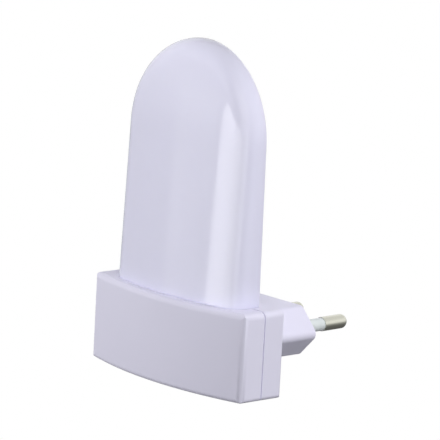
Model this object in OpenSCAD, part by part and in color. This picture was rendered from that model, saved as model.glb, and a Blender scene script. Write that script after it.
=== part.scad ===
// Plug-in night light: a two-part housing with a moulded two-pin plug, a tall
// arched diffuser trapped between the halves, and the board that lights it.
// Millimetres, +Z up, +Y into the wall. The origin is the centre of the plug's end face.

/* [Housing] */
// Width of the housing across the front
base_w = 61.8; // [58:0.2:70]
// Height of the housing
base_h = 24.1; // [23.6:0.1:30]
// Depth of the housing's sides, from the back to the front corners
base_side_d = 14.3; // [13.8:0.1:18]
// Radius of the bowed front face, seen from above
front_r = 105; // [90:1:200]
// Depth of the back cover, from its back face to the seam
cover_d = 7.3; // [6.8:0.1:7.8]
// Wall thickness of both halves
wall = 2; // [1.8:0.1:2.2]
// Rounding of the top edges
top_edge_r = 1.8; // [1:0.1:1.9]
// Rounding of the lower edges
low_edge_r = 1.3; // [0.6:0.1:1.8]
// Rounding of the upright front corners
corner_r = 2.2; // [1:0.1:2.8]
// Rounding of the upright back corners and of the back's top and bottom edges
back_edge_r = 1; // [0.5:0.1:1.5]
// Height of the shadow groove along the seam
groove_w = 0.35; // [0.2:0.05:0.6]
// Depth of the shadow groove along the seam
groove_d = 0.5; // [0.3:0.05:0.7]
// Length of the lip that lines the two halves up
lip_l = 1.5; // [1:0.1:2]

/* [Plug] */
// Width of the plug body, over its rounded sides
plug_w = 35.3; // [34:0.1:37]
// Height of the plug body
plug_h = 13.7; // [13:0.1:14.5]
// Reach of the plug body behind the housing
plug_reach = 24.1; // [23:0.1:32]
// Height of the plug's centre above the housing's underside
plug_rise = 11.95; // [11:0.05:13]
// Rounding of the plug body's long edges
plug_edge_r = 2; // [1:0.1:3]
// Rounding of the edges around the plug body's end
plug_end_r = 0.5; // [0.3:0.1:1]
// Wall thickness of the plug body
plug_wall = 2; // [1.6:0.1:2.2]
// Thickness of the plug body's end
plug_end_t = 3; // [2.5:0.1:4]

/* [Pins] */
// Diameter of the bare metal tip
pin_d = 4; // [3.9:0.05:4.2]
// Length of a pin outside the plug
pin_l = 19; // [18:0.1:20]
// Length of the insulating sleeve outside the plug
sleeve_l = 10; // [9:0.1:11]
// Outer diameter of the insulating sleeve
sleeve_d = 3.6; // [3.4:0.05:3.8]
// Diameter of the pin's core inside the sleeve
core_d = 2.8; // [2.4:0.1:3]
// Distance between the pins where they leave the plug
pin_root_gap = 18.6; // [18:0.1:19.2]
// Distance between the pins at their tips
pin_tip_gap = 17.5; // [17:0.1:18]
// Rounding of the pin's end
pin_tip_r = 1.7; // [1:0.1:1.9]
// Diameter of the pin's head inside the plug
pin_head_d = 4.8; // [4.4:0.1:5.6]
// Thickness of the pin's head
pin_head_t = 1.4; // [1:0.1:2]
// Diameter of the pin's solder tail
tail_d = 2.2; // [1.8:0.1:2.6]
// Length of the pin's solder tail
tail_l = 4.5; // [3.5:0.1:6]
// Depth of the seat that the pin's head sits in
seat_d = 0.4; // [0.2:0.05:0.8]
// Depth of the block that holds the pins' heads
carrier_d = 5; // [4:0.1:5.4]

/* [Diffuser] */
// Ledge at each side of the diffuser's foot
lens_side = 5.95; // [4:0.05:7]
// Height of the diffuser's straight sides above the housing, along its lean
lens_rise = 43.8; // [38:0.2:60]
// Distance of the diffuser's back from the housing's back
lens_back = 4.1; // [3.7:0.1:4.6]
// Ledge in front of the diffuser's foot
lens_ledge = 3; // [2.4:0.1:3.6]
// Radius of the rounding between the diffuser's front and its rim
lens_corner_r = 6; // [4:0.1:8]
// Lean of the diffuser's front, in degrees
lens_lean = 2; // [0:0.1:3]
// Forward draft of the diffuser's back, in degrees
lens_draft = 0.8; // [0:0.1:1.2]
// Wall thickness of the diffuser
lens_wall = 1.4; // [1:0.1:1.6]
// Thickness of the flange around the diffuser's foot
flange_t = 1.5; // [1:0.1:2]
// Width of the flange around the diffuser's foot
flange_w = 2.2; // [1.6:0.1:2.6]
// Width of the flange along the diffuser's back
flange_back_w = 1.2; // [0.6:0.1:1.4]
// Depth of the flange from its front end to the diffuser's back
flange_l = 8; // [6:0.1:9]

/* [Circuit board] */
// Thickness of the board
board_t = 1.6; // [1.2:0.1:1.8]
// Width of the board's tongue inside the diffuser
tongue_w = 16; // [12:0.5:24]
// Gap between the tongue's end and the diffuser's crown
tongue_gap = 21; // [16:0.5:30]
// Distance of the lowest diode above the housing's top
led_start = 7; // [5:0.5:12]
// Width of a diode
led_w = 2.8; // [2:0.1:3.5]
// Length of a diode
led_l = 3.5; // [3:0.1:5]
// Thickness of a diode
led_t = 0.8; // [0.6:0.1:1]

/* [Components] */
// Width of the mains capacitor, lying on the board
film_w = 10.5; // [9:0.5:13]
// Depth of the mains capacitor
film_d = 5; // [4:0.1:5.5]
// Height of the mains capacitor
film_h = 7; // [6:0.5:7.5]
// Diameter of the smoothing capacitor
can_d = 5; // [4:0.1:5.5]
// Length of the smoothing capacitor
can_l = 11; // [9:0.5:11.5]
// Width of the bridge rectifier
bridge_w = 4.8; // [4:0.1:5]
// Depth of the bridge rectifier
bridge_d = 2.5; // [2:0.1:3]
// Height of the bridge rectifier
bridge_h = 4; // [3.6:0.1:4.4]
// Diameter of the fusible input resistor
fuse_d = 2.8; // [2.4:0.1:3]
// Length of the fusible input resistor
fuse_l = 7.4; // [6:0.1:7.6]
// Diameter of the small resistors
resistor_d = 2.3; // [2:0.1:2.6]
// Length of the small resistors
resistor_l = 6.3; // [5:0.1:6.6]
// Diameter of the components' wires
wire_d = 0.6; // [0.5:0.05:0.7]
// Outer diameter of the insulated leads from the pins
lead_d = 1.6; // [1.4:0.1:1.8]
// Diameter of the leads' bare ends
strand_d = 0.8; // [0.6:0.05:0.9]
// Shift of the leads towards the middle, between the pins and the board
lead_shift = 5; // [2.5:0.1:5.8]

/* [Screws] */
// Distance of each screw from the housing's inner side
screw_inset = 4.8; // [4.4:0.1:5.2]
// Diameter of a screw's head
head_d = 4.8; // [4:0.1:5]
// Height of a screw's head
head_h = 1.7; // [1.4:0.1:1.9]
// Root diameter of a screw's thread
screw_d = 2.2; // [2:0.1:2.4]
// Length of a screw under its head
screw_l = 10; // [8:0.5:10.5]
// Depth of the recess for a screw's head
recess_d = 2.4; // [2:0.1:2.8]
// Outer diameter of the screw bosses
boss_d = 5.6; // [5.2:0.1:6]
// Wall around a screw head's recess
collar_t = 0.9; // [0.7:0.1:1.1]

/* [Fits] */
// Clearance around the diffuser in the housing's opening
lens_fit = 0.15; // [0.1:0.05:0.3]
// Clearance between the lip and the front shell
lip_fit = 0.1; // [0.05:0.05:0.2]
// Clearance around a sleeve in the plug's end
sleeve_fit = 0.1; // [0.08:0.01:0.15]
// Clearance around the pins' heads and tails in their block
pocket_fit = 0.15; // [0.1:0.05:0.25]
// Clearance around the pin block in the plug body
carrier_fit = 0.1; // [0.05:0.05:0.15]
// Clearance around a screw in the back cover
screw_fit = 0.35; // [0.2:0.05:0.4]
// Clearance around a screw's head in its recess
head_fit = 0.3; // [0.2:0.05:0.4]
// Clearance around a wire in the board
hole_fit = 0.15; // [0.1:0.05:0.2]
// Clearance between the board's edges and the bosses beside it
board_fit = 0.3; // [0.1:0.05:0.4]
// Room beyond a screw's point
point_fit = 0.5; // [0.3:0.1:1]

/* [Hidden] */
$fn = 64;
arc_fn = 360;        // facets in a full turn of the large front arcs
cut = 0.5;           // overrun of a cutting solid
reach = 200;         // larger than the whole object

// Planes of the housing
z_low = -plug_rise;
z_high = z_low + base_h;
y_back = -plug_reach;
y_seam = y_back - cover_d;
y_side = y_back - base_side_d;
front_sag = front_r - sqrt(front_r * front_r - base_w * base_w / 4);
y_front = y_side - front_sag;
y_hollow_back = y_back - wall;
y_hollow_front = y_front + wall;
z_floor = z_low + wall;
z_roof = z_high - wall;
hollow_corner_r = 0.6;
hollow_w = base_w - 2 * wall;
lip_t = wall / 2 - lip_fit;
screw_z = 0;
screw_x = hollow_w / 2 - screw_inset;
screw_seat = y_back - recess_d;
screw_hole_end = screw_seat - screw_l - point_fit;
wedge_angle = 44;    // part of the front's turned rim that covers the housing

// Plug
plug_half_w = plug_w / 2;
plug_half_h = plug_h / 2;
plug_vertex = plug_half_w + plug_edge_r * (sqrt(2) - 1);    // where the flat sides would meet
bore_half_w = plug_vertex - plug_wall * sqrt(2);
bore_half_h = plug_half_h - plug_wall;
y_end_wall = -plug_end_t;
catch_w = 7;
catch_t = 0.5;
catch_l = 1;

// Pins, in each pin's own line: 0 is the plug's end face
pin_angle = atan((pin_root_gap - pin_tip_gap) / 2 / pin_l);
head_front = -plug_end_t + seat_d;
head_back = head_front - pin_head_t;
tail_end = head_back - tail_l;
cup_d = strand_d;
cup_depth = 2.5;
carrier_end = y_end_wall - carrier_d;

// Diffuser
foot_low = z_roof - flange_t;
lens_y_back = y_back - lens_back;
lens_y_front = y_front + lens_ledge;
lens_front_r = front_r - lens_ledge;
lens_w = base_w - 2 * lens_side;
lens_half_w = lens_w / 2;
lens_dome_z = z_high + lens_rise;
lens_crown_z = lens_dome_z + lens_half_w;
lens_stock = 6;      // extra depth that the back plane is cut from

// Board, standing with its back on the seam
board_back = y_seam;
board_front = y_seam - board_t;
board_w = 2 * (screw_x - boss_d / 2 - board_fit);
shoulder_gap = 0.2;
board_shoulder = foot_low - shoulder_gap;
tongue_top = lens_crown_z - tongue_gap;
led_count = 4;
led_pitch = (tongue_top - z_high - led_start - led_l) / (led_count - 1);
led_rim = 0.25;      // white frame around a diode's window
led_window_d = 0.25; // depth of that window
lead_hole_x = pin_root_gap / 2 - lead_shift / cos(pin_angle)
    - (board_back + board_front) / 2 * tan(pin_angle);
lead_end = (board_back + (lead_shift + lead_d) * sin(pin_angle)) / cos(pin_angle);

// Ribs beside the board, and the ones that carry the diffuser's flange
rib_t = 1;
rib_x = board_w / 2 - rib_t / 2;
rib_drop = 1;
rib_top = board_shoulder - rib_drop;
rest_t = 1.2;
rest_front_gap = 2.2;
rest_back_gap = 2.4;
rest_side_gap = 0.6;
rest_front_y = y_seam - rest_front_gap - rest_t;
rest_back_y = y_seam + rest_back_gap;
rest_inner_x = lens_half_w + rest_side_gap;
rest_w = hollow_w / 2 - rest_inner_x;

// Components on the board's front: wire spacings, then places as [x, z]
wire_run = 1.3;      // from a resistor's end to its hole
wire_inset = 1.5;    // from the mains capacitor's side to its hole
fuse_pitch = fuse_l + 2 * wire_run;
resistor_pitch = resistor_l + 2 * wire_run;
film_pitch = film_w - 2 * wire_inset;
can_pitch = 2;
part_gap = 1.1;      // between the outermost components and the ribs
hole_gap = 1.2;      // between the outermost holes and the outermost components
parts_x = board_w / 2 - rib_t - part_gap;
wire_x = parts_x - hole_gap;
film_drop = 0.5;
can_drop = 0.9;
fuse_rise = 6.5;
resistor_rise = 2.75;
film_at = [film_w / 2 - parts_x, board_shoulder - film_drop - film_h / 2];
can_at = [parts_x - can_l / 2, board_shoulder - can_drop - can_d / 2];
bridge_at = [0.6, -1.4];
fuse_at = [wire_x - fuse_pitch / 2, z_floor + fuse_rise];
bleed_at = [resistor_pitch / 2 - wire_x, z_floor + resistor_rise];
limit_at = [wire_x - resistor_pitch / 2, z_floor + resistor_rise];
wire_bend_r = 0.7;
wire_stub = 0.9;     // length of a component's wire behind the board
solder_r = 0.9;
solder_h = 0.8;
solder_rim = 0.12;   // solder around the wire at the cone's tip
resistor_cap = 0.24; // share of a resistor's length that each thick end takes
resistor_neck = 0.86;    // its waist, as a share of its diameter
film_edge_r = 0.7;
crimp_at = 1.8;      // from the can's sealed end to its crimp
crimp_r = 0.35;
crimp_d = 0.28;
vent_w = 0.3;
vent_l = 3;
leg_w = 0.6;
leg_t = 0.3;
leg_reach = 1;
bridge_stand = 0.2;
head_slot_w = 0.8;
head_slot_l = 2.8;
head_slot_d = 1;
screw_tip_l = 1.6;
screw_tip_d = 0.55;

// ---------- shapes that several pieces share ----------

// Plan of a box with a bowed front and rounded front corners, open to any depth behind
module bowed_plan(w, y_rear, y_nose, bow_r, r) {
    cx = w / 2 - r;
    yc = y_nose + bow_r;
    cy = yc - sqrt(pow(bow_r - r, 2) - cx * cx);
    far = 1.5 * bow_r / (bow_r - r);
    intersection() {
        translate([0, yc]) circle(bow_r, $fn = arc_fn);
        polygon([[0, yc], [-cx * far, yc + (cy - yc) * far], [cx * far, yc + (cy - yc) * far]]);
        translate([-w / 2, y_nose]) square([w, y_rear - y_nose]);
    }
    translate([-w / 2, cy]) square([w, y_rear - cy]);
    for (side = [-1, 1]) translate([side * cx, cy]) circle(r);
}

// Rectangle from the axis to w with two rounded outer corners
module edge_profile(w, h, low_r, high_r) {
    translate([0, low_r]) square([w, h - low_r - high_r]);
    square([w - low_r, h]);
    translate([0, h - high_r]) square([w - high_r, high_r]);
    translate([w - low_r, low_r]) circle(low_r);
    translate([w - high_r, h - high_r]) circle(high_r);
}

// The same rectangle on both sides of the axis
module edge_profile_pair(w, h, low_r, high_r) {
    intersection() {
        translate([-reach, 0]) square([2 * reach, h]);
        union() {
            translate([-w / 2 + low_r, 0]) square([w - 2 * low_r, h - high_r]);
            translate([-w / 2 + high_r, low_r]) square([w - 2 * high_r, h - low_r]);
            translate([-w / 2, low_r]) square([w, h - low_r - high_r]);
            for (side = [-1, 1]) {
                translate([side * (w / 2 - low_r), low_r]) circle(low_r);
                translate([side * (w / 2 - high_r), h - high_r]) circle(high_r);
            }
        }
    }
}

// A plan drawn in X and Y, stood up between two heights
module upright(z0, z1) {
    translate([0, 0, z0]) linear_extrude(z1 - z0) children();
}

// A profile drawn in X and Z, run from y0 to y1
module along_y(y0, y1) {
    translate([0, y1, 0]) rotate([90, 0, 0]) linear_extrude(y1 - y0) children();
}

// A profile drawn in Y and Z, run across the whole width
module across_x() {
    rotate([90, 0, 90]) linear_extrude(reach, center = true) children();
}

// A round bar along Y
module rod(d, y0, y1) {
    translate([0, y1, 0]) rotate([90, 0, 0]) cylinder(d = d, h = y1 - y0);
}

// Everything in front of or behind a plane across Y
module in_front_of(y) {
    translate([-reach, y - 2 * reach, -reach]) cube(2 * reach);
}

module behind(y) {
    translate([-reach, y, -reach]) cube(2 * reach);
}

// Children in a pin's own line: +Y runs out along the pin
module at_pin(side) {
    translate([side * pin_root_gap / 2, 0, 0]) rotate([0, 0, side * pin_angle]) children();
}

// ---------- housing ----------

// Outer form of the closed housing
module housing_block() {
    intersection() {
        translate([0, y_front + front_r, z_low])
            rotate([0, 0, -90 - wedge_angle / 2])
                rotate_extrude(angle = wedge_angle, $fn = arc_fn)
                    edge_profile(front_r, base_h, low_edge_r, top_edge_r);
        along_y(y_front - cut, y_back)
            translate([0, z_low]) edge_profile_pair(base_w, base_h, low_edge_r, top_edge_r);
        upright(z_low, z_high) housing_plan();
        across_x() back_profile();
    }
}

// Plan of the housing: bowed front, rounded corners
module housing_plan() {
    bowed_plan(base_w, y_back - back_edge_r, y_front, front_r, corner_r);
    translate([-base_w / 2 + back_edge_r, y_back - 2 * back_edge_r])
        square([base_w - 2 * back_edge_r, 2 * back_edge_r]);
    for (side = [-1, 1])
        translate([side * (base_w / 2 - back_edge_r), y_back - back_edge_r]) circle(back_edge_r);
}

// Side view of the housing: square in front, rounded behind
module back_profile() {
    translate([y_front - cut, z_low]) square([y_back - back_edge_r - y_front + cut, base_h]);
    translate([y_back - 2 * back_edge_r, z_low + back_edge_r])
        square([2 * back_edge_r, base_h - 2 * back_edge_r]);
    for (z = [z_low + back_edge_r, z_high - back_edge_r])
        translate([y_back - back_edge_r, z]) circle(back_edge_r);
}

// Hollow of the closed housing
module housing_hollow() {
    upright(z_floor, z_roof)
        bowed_plan(hollow_w, y_hollow_back, y_hollow_front, front_r - wall, hollow_corner_r);
}

// Rectangle in X and Z that stands g outside the hollow
module hollow_frame(g) {
    translate([-hollow_w / 2 - g, z_floor - g]) square([hollow_w + 2 * g, z_roof - z_floor + 2 * g]);
}

// The two halves' upright ribs that hold the board between them
module board_ribs(y0, y1) {
    for (side = [-1, 1])
        translate([side * rib_x - rib_t / 2, y0, z_floor]) cube([rib_t, y1 - y0, rib_top - z_floor]);
}

// A pair of ribs that carry the diffuser's flange
module flange_rests(y) {
    for (side = [-1, 1])
        translate([side * (rest_inner_x + rest_w / 2) - rest_w / 2, y, z_floor])
            cube([rest_w, rest_t, foot_low - z_floor]);
}

module front_shell() {
    color("#c9c8d6")
    difference() {
        union() {
            difference() {
                intersection() {
                    housing_block();
                    in_front_of(y_seam);
                }
                housing_hollow();
                // Rebate for the cover's lip
                along_y(y_seam - lip_l - lip_fit, y_seam + cut) hollow_frame(wall / 2);
            }
            // What stands inside the hollow
            intersection() {
                upright(z_floor - cut, z_roof + cut)
                    bowed_plan(hollow_w + wall, y_seam, y_hollow_front - wall / 2,
                        front_r - wall / 2, hollow_corner_r);
                union() {
                    for (side = [-1, 1])
                        translate([side * screw_x, 0, screw_z]) rod(boss_d, y_front, y_seam);
                    board_ribs(y_front, board_front);
                    difference() {
                        flange_rests(rest_front_y);
                        along_y(y_seam - lip_l - lip_fit, y_seam + cut) hollow_frame(wall / 2);
                    }
                }
            }
        }
        for (side = [-1, 1])
            translate([side * screw_x, 0, screw_z])
                rod(screw_d, screw_hole_end, y_seam + cut);
        diffuser_form(lens_fit, foot_low);
    }
}

// Corners of a hexagon with level sides and 45 degree ends, anticlockwise
function plug_core(w, h) = [[w, 0], [w - h, h], [h - w, h], [-w, 0], [h - w, -h], [w - h, -h]];

// Solid plug body from inside the cover to its end face: a core with a round post at each
// corner and a slab along each side, all of them rounded at the end
module plug_body() {
    core = plug_core(plug_half_w - plug_edge_r, plug_half_h - plug_edge_r);
    plug_l = -y_hollow_back;
    along_y(y_hollow_back, 0) polygon(core);
    for (i = [0 : 5]) {
        a = core[i];
        b = core[(i + 1) % 6];
        turn = atan2(b[1] - a[1], b[0] - a[0]);
        translate([a[0], y_hollow_back, a[1]]) {
            rotate([-90, 0, 0]) rotate_extrude() edge_profile(plug_edge_r, plug_l, 0, plug_end_r);
            rotate([0, 90 - turn, 0])
                linear_extrude(norm(b - a)) edge_profile(plug_edge_r, plug_l, 0, plug_end_r);
        }
    }
}

module back_cover() {
    color("#cac9d6")
    difference() {
        union() {
            difference() {
                intersection() {
                    housing_block();
                    behind(y_seam);
                }
                housing_hollow();
                // Shadow groove along the seam
                along_y(y_seam - cut, y_seam + groove_w)
                    difference() {
                        translate([-reach, -reach]) square(2 * reach);
                        translate([0, z_low + groove_d])
                            edge_profile_pair(base_w - 2 * groove_d, base_h - 2 * groove_d,
                                low_edge_r - groove_d / 2, top_edge_r - groove_d / 2);
                    }
            }
            plug_body();
            // Lip that enters the front shell
            along_y(y_seam - lip_l, y_seam + wall / 2)
                difference() {
                    hollow_frame(lip_t);
                    hollow_frame(0);
                }
            for (side = [-1, 1])
                translate([side * screw_x, 0, screw_z]) {
                    rod(boss_d, y_seam, y_hollow_back + wall / 2);
                    rod(head_d + 2 * head_fit + 2 * collar_t, screw_seat - collar_t,
                        y_hollow_back + wall / 2);
                }
            board_ribs(board_back, y_hollow_back + wall / 2);
            flange_rests(rest_back_y);
        }
        // Hollow of the plug body, up to its end wall
        along_y(y_hollow_back - cut, y_end_wall) plug_hollow();
        for (side = [-1, 1]) {
            translate([side * screw_x, 0, screw_z]) {
                rod(head_d + 2 * head_fit, screw_seat, y_back + cut);
                rod(screw_d + 2 * screw_fit, y_seam - cut, y_back);
            }
            at_pin(side) {
                rod(sleeve_d + 2 * sleeve_fit, head_front - cut, cut);
                rod(pin_head_d + 2 * pocket_fit, head_front - pin_head_t, head_front);
            }
        }
        diffuser_form(lens_fit, foot_low);
    }
    // Catches that keep the pin block against the end wall
    color("#cac9d6")
    for (s = [-1, 1])
        translate([-catch_w / 2, carrier_end - catch_l, s < 0 ? -bore_half_h - cut : bore_half_h - catch_t])
            cube([catch_w, catch_l, catch_t + cut]);
}

// Section of the plug's hollow
module plug_hollow() {
    polygon(plug_core(bore_half_w, bore_half_h));
}

// ---------- diffuser ----------

// Right half of the diffuser's plan, run back past its back face; t insets it
module lens_half_plan(t) {
    intersection() {
        lens_plan(t);
        translate([0, -reach]) square(reach);
    }
}

module lens_plan(t) {
    bowed_plan(lens_w - 2 * t, lens_y_back + lens_stock, lens_y_front + t, lens_front_r - t,
        lens_corner_r - t);
}

// Upright plan turned half round on top; it leans back about its foot, and its back is cut flat
module diffuser_form(grow, z_cut) {
    t = -grow;
    intersection() {
        translate([0, lens_y_front, z_high])
            rotate([-lens_lean, 0, 0])
                translate([0, -lens_y_front, -z_high]) {
                    upright(z_cut - wall, lens_dome_z) lens_plan(t);
                    translate([0, 0, lens_dome_z])
                        rotate([90, 0, 0])
                            rotate_extrude(angle = 180)
                                mirror([0, 1]) lens_half_plan(t);
                }
        // Back plane, leaning forward by its draft
        translate([0, lens_y_back - t, z_high])
            rotate([lens_draft, 0, 0])
                translate([-reach, -2 * reach, -reach]) cube(2 * reach);
        translate([-reach, -reach, z_cut]) cube(2 * reach);
    }
}

module diffuser() {
    color("#d8d7e7")
    difference() {
        union() {
            diffuser_form(0, foot_low);
            // Flange on both sides and along the back
            difference() {
                translate([-lens_half_w - flange_w, lens_y_back + flange_back_w - flange_l, foot_low])
                    cube([lens_w + 2 * flange_w, flange_l, flange_t]);
                diffuser_form(-lens_wall / 2, foot_low - cut);
            }
        }
        diffuser_form(-lens_wall, foot_low - cut);
    }
}

// ---------- pins ----------

module pin(side) {
    color("#b9b6ac")
    at_pin(side) {
        rotate([-90, 0, 0])
            rotate_extrude() {
                // Rounded tip, core under the sleeve, head, tail
                translate([0, sleeve_l]) square([pin_d / 2, pin_l - pin_tip_r - sleeve_l]);
                translate([0, sleeve_l]) square([pin_d / 2 - pin_tip_r, pin_l - sleeve_l]);
                intersection() {
                    translate([pin_d / 2 - pin_tip_r, pin_l - pin_tip_r]) circle(pin_tip_r);
                    translate([0, sleeve_l]) square([pin_d, pin_l]);
                }
                translate([0, head_front]) square([core_d / 2, sleeve_l - head_front]);
                translate([0, head_back]) square([pin_head_d / 2, pin_head_t]);
                translate([0, tail_end + cup_depth]) square([tail_d / 2, tail_l - cup_depth]);
                translate([cup_d / 2, tail_end]) square([(tail_d - cup_d) / 2, cup_depth]);
            }
    }
}

module sleeve(side) {
    color("#dce3e3")
    at_pin(side)
        rotate([-90, 0, 0])
            rotate_extrude()
                translate([core_d / 2, head_front])
                    square([(sleeve_d - core_d) / 2, sleeve_l - head_front]);
}

module pin_carrier() {
    color("#e8e6e0")
    difference() {
        along_y(carrier_end, y_end_wall)
            polygon(plug_core(bore_half_w - carrier_fit * sqrt(2), bore_half_h - carrier_fit));
        for (side = [-1, 1])
            at_pin(side) {
                rod(pin_head_d + 2 * pocket_fit, head_back, 0);
                rod(tail_d + 2 * pocket_fit, carrier_end - cut, 0);
            }
    }
}

// ---------- leads ----------

// Round wire along -Y that shifts towards the middle by two quarter bends
module s_wire(d, y0, y1) {
    r = lead_shift / 2;
    translate([0, (y0 + y1) / 2, -r])
        for (turn = [0, 180])
            rotate([turn, 0, 0]) translate([0, r, 0]) rotate([90, 0, 90]) {
                rotate([0, 0, 90]) rotate_extrude(angle = 90) translate([r, 0]) circle(d = d);
                translate([0, r, 0]) rotate([0, 90, 0]) cylinder(d = d, h = (y0 - y1) / 2 - r);
            }
}

module lead(side) {
    color(side < 0 ? "#3f4a8c" : "#7a4a2e") {
        at_pin(side) {
            rotate([0, side * 90, 0]) s_wire(lead_d, tail_end, lead_end);
            rod(strand_d, tail_end - lead_d, tail_end + cup_depth);
        }
        lead_strand(side);
    }
}

// Bare end of a lead, through the board
module lead_strand(side) {
    at_pin(side) translate([-side * lead_shift, 0, 0])
        rod(strand_d, lead_end - board_t - wire_stub, lead_end + lead_d);
}

// ---------- circuit board ----------

// Places of the components' wires: [x, z]
function component_wires() = [for (s = [-1, 1]) each [
    [film_at[0] + s * film_pitch / 2, film_at[1] - film_h / 2 - wire_bend_r],
    [can_at[0] - can_l / 2 - wire_bend_r, can_at[1] + s * can_pitch / 2],
    [fuse_at[0] + s * fuse_pitch / 2, fuse_at[1]],
    [bleed_at[0] + s * resistor_pitch / 2, bleed_at[1]],
    [limit_at[0] + s * resistor_pitch / 2, limit_at[1]]]];

module circuit_board() {
    color("#d9ddd2")
    difference() {
        union() {
            translate([-board_w / 2, board_front, z_floor])
                cube([board_w, board_t, board_shoulder - z_floor]);
            translate([-tongue_w / 2, board_front, z_floor])
                cube([tongue_w, board_t, tongue_top - z_floor]);
        }
        for (side = [-1, 1])
            board_hole([side * lead_hole_x, 0], strand_d);
        for (w = component_wires())
            board_hole(w, wire_d);
    }
}

module board_hole(at, d) {
    translate([at[0], 0, at[1]]) rod(d + 2 * hole_fit, board_front - cut, board_back + cut);
}

module led(i) {
    z = z_high + led_start + (i - 1) * led_pitch;
    color("#f4efc8")
    difference() {
        translate([-led_w / 2, board_front - led_t, z]) cube([led_w, led_t, led_l]);
        translate([0, 0, z + led_l / 2])
            rod(led_w - 2 * led_rim, board_front - led_t - cut, board_front - led_t + led_window_d);
    }
}

// Solder cones: on the board's front for the leads, on its back for the components
module solder_joints() {
    color("#c3c4c8") {
        for (side = [-1, 1])
            difference() {
                translate([side * lead_hole_x, board_front, 0])
                    rotate([90, 0, 0]) solder_cone(strand_d);
                lead_strand(side);
            }
        for (w = component_wires())
            translate([w[0], board_back, w[1]])
                rotate([-90, 0, 0])
                    difference() {
                        solder_cone(wire_d);
                        translate([0, 0, -cut]) cylinder(d = wire_d, h = solder_h + 2 * cut);
                    }
    }
}

module solder_cone(d) {
    cylinder(r1 = solder_r, r2 = d / 2 + solder_rim, h = solder_h);
}

// Wire that leaves a part along -X, bends and goes through the board; [0, 0] is its hole
module bent_wire(y_axis, run) {
    rod(wire_d, y_axis + wire_bend_r, board_back + wire_stub);
    translate([wire_bend_r, y_axis + wire_bend_r, 0])
        rotate([0, 0, 180])
            rotate_extrude(angle = 90) translate([wire_bend_r, 0]) circle(d = wire_d);
    translate([wire_bend_r, y_axis, 0]) rotate([0, 90, 0]) cylinder(d = wire_d, h = run);
}

// Resistor lying on the board with both of its wires bent through it
module axial_resistor(at, d, l, pitch, tint) {
    y_axis = board_front - d / 2;
    cap_l = l * resistor_cap;
    color(tint)
    translate([at[0], 0, at[1]]) {
        translate([-l / 2, y_axis, 0]) rotate([0, 90, 0]) {
            cylinder(d = d * resistor_neck, h = l);
            for (z = [0, l - cap_l]) translate([0, 0, z]) cylinder(d = d, h = cap_l);
        }
        for (s = [0, 1])
            mirror([s, 0, 0])
                translate([-pitch / 2, 0, 0])
                    bent_wire(y_axis, (pitch - l) / 2 - wire_bend_r + cap_l / 2);
    }
}

// Boxed film capacitor lying on the board, its wires bent down from its lower side
module mains_capacitor() {
    y_axis = board_front - film_d / 2;
    color("#b5402c")
    translate([film_at[0], 0, film_at[1]]) {
        intersection() {
            along_y(board_front - film_d, board_front)
                translate([0, -film_h / 2]) edge_profile_pair(film_w, film_h, film_edge_r, film_edge_r);
            upright(-film_h, film_h)
                translate([0, board_front - film_d])
                    edge_profile_pair(film_w, film_d, film_edge_r, film_edge_r);
        }
        for (s = [-1, 1])
            translate([s * film_pitch / 2, 0, -film_h / 2 - wire_bend_r])
                rotate([0, -90, 0]) bent_wire(y_axis, 2 * wire_bend_r);
    }
}

// Electrolytic can lying on the board, its rubber end and wires towards the middle
module smoothing_capacitor() {
    y_axis = board_front - can_d / 2;
    color("#2f3a5c")
    translate([can_at[0], 0, can_at[1]]) {
        translate([-can_l / 2, y_axis, 0]) rotate([0, 90, 0])
            difference() {
                cylinder(d = can_d, h = can_l);
                translate([0, 0, crimp_at])
                    rotate_extrude()
                        translate([can_d / 2 - crimp_d + crimp_r, 0]) circle(crimp_r, $fn = 24);
                // Scored vent cross in the closed end
                for (a = [0, 90])
                    translate([0, 0, can_l]) rotate([0, 0, a])
                        cube([vent_l, vent_w, vent_w], center = true);
            }
        for (s = [-1, 1])
            translate([-can_l / 2 - wire_bend_r, 0, s * can_pitch / 2])
                bent_wire(y_axis, 1.5 * wire_bend_r);
    }
}

// Moulded bridge rectifier on four gull-wing legs
module bridge_rectifier() {
    color("#26272b")
    translate([bridge_at[0], board_front, bridge_at[1]]) {
        translate([-bridge_w / 2, -bridge_d - bridge_stand, -bridge_h / 2])
            cube([bridge_w, bridge_d, bridge_h]);
        for (x = [-1, 1], s = [-1, 1]) {
            x_leg = x * bridge_w / 4 - leg_w / 2;
            z_foot = s * (bridge_h / 2 + leg_reach / 2) - leg_reach / 2;
            z_riser = s * (bridge_h / 2 + leg_t / 2) - leg_t / 2;
            translate([x_leg, -leg_t, z_foot]) cube([leg_w, leg_t, leg_reach]);
            translate([x_leg, -bridge_d / 2, z_riser]) cube([leg_w, bridge_d / 2, leg_t]);
        }
    }
}

module fusible_resistor() { axial_resistor(fuse_at, fuse_d, fuse_l, fuse_pitch, "#5f7d6a"); }
module bleed_resistor() { axial_resistor(bleed_at, resistor_d, resistor_l, resistor_pitch, "#c9a878"); }
module current_resistor() { axial_resistor(limit_at, resistor_d, resistor_l, resistor_pitch, "#7fa6b8"); }

// ---------- screws ----------

module housing_screws() {
    color("#a9abb0")
    for (side = [-1, 1])
        translate([side * screw_x, screw_seat, screw_z])
            difference() {
                union() {
                    rod(head_d, 0, head_h);
                    rod(screw_d, -screw_l + screw_tip_l, 0);
                    translate([0, -screw_l + screw_tip_l, 0])
                        rotate([90, 0, 0]) cylinder(d1 = screw_d, d2 = screw_tip_d, h = screw_tip_l);
                }
                for (a = [0, 90])
                    translate([0, head_h, 0]) rotate([0, a, 0])
                        cube([head_slot_l, 2 * head_slot_d, head_slot_w], center = true);
            }
}

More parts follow.
